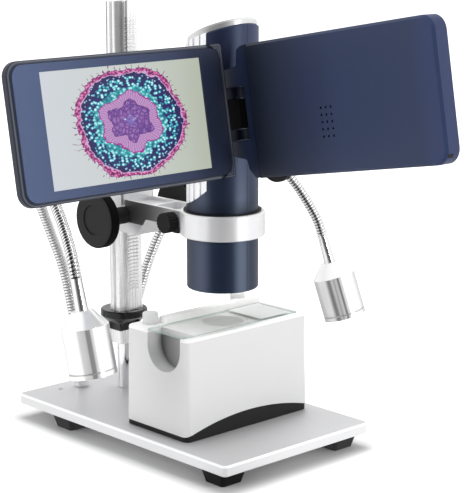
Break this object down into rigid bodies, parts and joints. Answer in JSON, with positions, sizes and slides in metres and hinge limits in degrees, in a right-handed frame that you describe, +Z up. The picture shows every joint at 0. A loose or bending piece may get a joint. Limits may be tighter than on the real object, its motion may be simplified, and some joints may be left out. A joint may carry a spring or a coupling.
{
  "type": "lcd digital microscope",
  "caption": "Desktop microscope with a camera tube on a geared column, a swing-out screen, a second leaf, a light stage and gooseneck lamps.",
  "frame": {"origin": "centre of the bounding box on the floor, where the rubber feet stand", "axes": "+Z up, +X to the right of someone facing the front of the stand, -Y to the front, with the column at the back"},
  "size_m": [0.2568, 0.263, 0.2235],
  "materials": {
    "plate": "satin",
    "feet": "matte",
    "screw_steel": "satin",
    "chrome": "polished",
    "column_metal": "satin",
    "black_plastic": "satin",
    "cast_arm": "satin",
    "liner": "matte",
    "navy": "satin",
    "silver_shell": "satin",
    "glass": "clear",
    "board": "satin",
    "led": "gloss",
    "diffuser": "satin",
    "sensor": "gloss",
    "screen": "gloss",
    "battery": "satin",
    "dial_rubber": "matte",
    "white_plastic": "gloss",
    "hose": "satin",
    "lamp_metal": "satin"
  },
  "bodies": {
    "stand": {"base_plate": "plate", "rubber_feet": "feet", "foot_screws": "screw_steel", "column_post": "chrome", "foot_block": "column_metal", "column_collar": "black_plastic", "column": "column_metal", "gear_rack": "column_metal", "ferrule_left": "chrome", "ferrule_right": "chrome"},
    "carriage": {"focus_arm": "cast_arm", "ring_liner": "liner", "clamp_nut": "screw_steel"},
    "focus_drive": {"pinion_shaft": "screw_steel", "focus_knob_left": "black_plastic", "focus_knob_right": "black_plastic"},
    "clamp_screw": {"clamp_knob": "black_plastic", "clamp_bolt": "screw_steel"},
    "head": {"tube_body": "navy", "back_shell": "silver_shell", "head_cap": "silver_shell", "lens_barrel": "black_plastic", "front_lens": "glass", "led_ring_board": "board", "head_leds": "led", "head_diffuser": "diffuser", "sensor_board": "board", "image_sensor": "sensor", "hinge_pin": "screw_steel", "hinge_block": "black_plastic"},
    "lid": {"lid_shell": "navy", "lid_bezel": "navy", "screen_glass": "glass", "lcd_module": "screen", "driver_board": "board"},
    "wing": {"wing_shell": "navy", "wing_plate": "navy", "main_board": "board", "battery": "battery", "speaker": "black_plastic", "dial_axle": "screw_steel"},
    "dial": {"jog_dial": "dial_rubber"},
    "lamp_left": {"gooseneck_left": "hose", "lamp_stem_left": "chrome", "lamp_head_left": "lamp_metal", "lamp_lens_left": "diffuser", "lamp_board_left": "board"},
    "lamp_right": {"gooseneck_right": "hose", "lamp_stem_right": "chrome", "lamp_head_right": "lamp_metal", "lamp_lens_right": "diffuser", "lamp_board_right": "board"},
    "stage": {"stage_shell": "white_plastic", "stage_base": "black_plastic", "light_window": "diffuser", "stage_led_board": "board", "stage_posts": "white_plastic"},
    "slide": {"glass_slide": "glass", "cover_slip": "glass"}
  },
  "joints": [
    {"name": "focus_slide", "type": "slide", "parent": "stand", "child": "carriage", "axis": [0, 0, 1], "range_m": [-0.013, 0.05]},
    {"name": "focus_turn", "type": "hinge", "parent": "carriage", "child": "focus_drive", "pos_m": [0.01116, 0.0895, 0.1095], "axis": [1, 0, 0], "range_deg": [-600, 160]},
    {"name": "clamp_turn", "type": "hinge", "parent": "carriage", "child": "clamp_screw", "pos_m": [0.00116, 0.0516, 0.1114], "axis": [1, 0, 0], "range_deg": [0, 360]},
    {"name": "head_swivel", "type": "hinge", "parent": "carriage", "child": "head", "pos_m": [0.01116, 0.0256, 0.113], "axis": [0, 0, 1], "range_deg": [-15, 25]},
    {"name": "lid_hinge", "type": "hinge", "parent": "head", "child": "lid", "pos_m": [0.00431, -0.00325, 0.1419], "axis": [0, 0.1749, 0.9846], "range_deg": [-18, 45]},
    {"name": "wing_hinge", "type": "hinge", "parent": "head", "child": "wing", "pos_m": [0.00431, -0.00325, 0.1419], "axis": [0, 0.1749, 0.9846], "range_deg": [0, 90]},
    {"name": "dial_turn", "type": "hinge", "parent": "wing", "child": "dial", "pos_m": [0.00072, -0.02229, 0.15259], "axis": [-0.9991, 0.0423, -0.0075], "continuous": true},
    {"name": "lamp_swing_left", "type": "hinge", "parent": "stand", "child": "lamp_left", "pos_m": [-0.00534, 0.1194, 0.0295], "axis": [0, 0, 1], "range_deg": [-15, 15]},
    {"name": "lamp_swing_right", "type": "hinge", "parent": "stand", "child": "lamp_right", "pos_m": [0.02766, 0.1194, 0.0295], "axis": [0, 0, 1], "range_deg": [-15, 15]},
    {"name": "stage_slide", "type": "slide", "parent": "stand", "child": "stage", "axis": [0, -1, 0], "range_m": [0, 0.03]},
    {"name": "slide_lift", "type": "slide", "parent": "stage", "child": "slide", "axis": [0, 0, 1], "range_m": [0, 0.01]}
  ],
  "couplings": [
    {"joint": "focus_turn", "follows": "focus_slide", "rad_per_m": -208.33}
  ]
}
